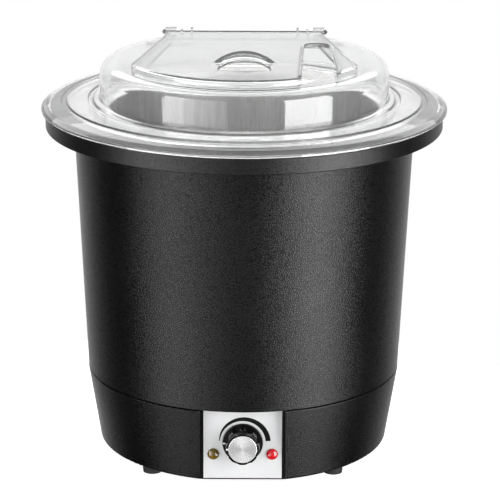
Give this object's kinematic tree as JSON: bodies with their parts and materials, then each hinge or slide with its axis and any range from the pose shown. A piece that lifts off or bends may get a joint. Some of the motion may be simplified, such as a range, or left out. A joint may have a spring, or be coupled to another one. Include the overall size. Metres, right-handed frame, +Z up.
{
  "type": "soup kettle",
  "caption": "Electric soup kettle: tapered black housing, lift-out steel pot with a wide rim, and a clear lid with a hinged flap, finger hood and ladle notch.",
  "frame": {"origin": "on the ground under the kettle's vertical axis, level with the soles of the rubber feet", "axes": "+Z up along the kettle's axis, control panel faces -Y, +X to the right of a person who faces the panel"},
  "size_m": [0.357, 0.357, 0.3719],
  "materials": {
    "foot_rubber": "matt",
    "zinc_steel": "zinc plated, dull",
    "base_plastic": "fine grained, satin",
    "shell_plastic": "pebble grained, satin",
    "collar_plastic": "fine grained, satin",
    "well_steel": "drawn stainless, dull",
    "pot_steel": "brushed stainless, bright",
    "glass_fibre": "felted wool",
    "cast_aluminium": "as rolled",
    "element_steel": "heat tinted",
    "white_ceramic": "glazed",
    "dark_phenolic": "moulded",
    "brass": "plain",
    "panel_metal": "silver white satin",
    "copper_bulb": "copper, drawn",
    "amber_lens": "transparent amber",
    "red_lens": "transparent red",
    "wire_brown": "insulated",
    "wire_blue": "insulated",
    "knob_plastic": "semi gloss moulded",
    "white_mark": "inlay",
    "spun_aluminium": "turned, radial sheen",
    "pin_steel": "drawn rod",
    "clear_lid": "clear polycarbonate, polished",
    "clear_flap": "clear polycarbonate, polished"
  },
  "bodies": {
    "housing": {"rubber_feet": "foot_rubber", "foot_screws": "zinc_steel", "base_housing": "base_plastic", "base_plate": "zinc_steel", "tie_rod_nuts": "zinc_steel", "shield_nuts": "zinc_steel", "tie_rods": "zinc_steel", "body_shell": "shell_plastic", "top_collar": "collar_plastic", "water_well": "well_steel", "insulation_wrap": "glass_fibre", "heater_plate": "cast_aluminium", "heating_element": "element_steel", "heater_terminals": "white_ceramic", "heat_shield": "zinc_steel", "thermal_cutout": "dark_phenolic", "terminal_block": "white_ceramic", "terminal_screws": "brass", "cord_grommet": "foot_rubber", "control_panel": "panel_metal", "thermostat": "zinc_steel", "sensor_bulb": "copper_bulb", "sensor_capillary": "copper_bulb", "bulb_straps": "zinc_steel", "amber_lamp": "amber_lens", "red_lamp": "red_lens", "lamp_holders": "dark_phenolic", "lamp_clips": "zinc_steel", "live_lead": "wire_brown", "heater_lead": "wire_brown", "neutral_lead": "wire_blue"},
    "knob": {"thermostat_shaft": "zinc_steel", "knob_moulding": "knob_plastic", "knob_marks": "white_mark", "knob_cap": "spun_aluminium", "knob_screw": "zinc_steel"},
    "pot": {"insert_pot": "pot_steel"},
    "lid": {"lid_dome": "clear_lid", "hinge_pin": "pin_steel", "pin_caps": "pin_steel"},
    "flap": {"lid_flap": "clear_flap"}
  },
  "joints": [
    {"name": "knob_turn", "type": "hinge", "parent": "housing", "child": "knob", "pos_m": [0, -0.124, 0.0435], "axis": [0, 1, 0], "range_deg": [0, 180]},
    {"name": "pot_lift", "type": "slide", "parent": "housing", "child": "pot", "axis": [0, 0, 1], "range_m": [0, 0.26]},
    {"name": "lid_lift", "type": "slide", "parent": "pot", "child": "lid", "axis": [0, 0, 1], "range_m": [0, 0.1]},
    {"name": "flap_hinge", "type": "hinge", "parent": "lid", "child": "flap", "pos_m": [0, 0.091, 0.3602], "axis": [-1, 0, 0], "range_deg": [0, 110]}
  ]
}
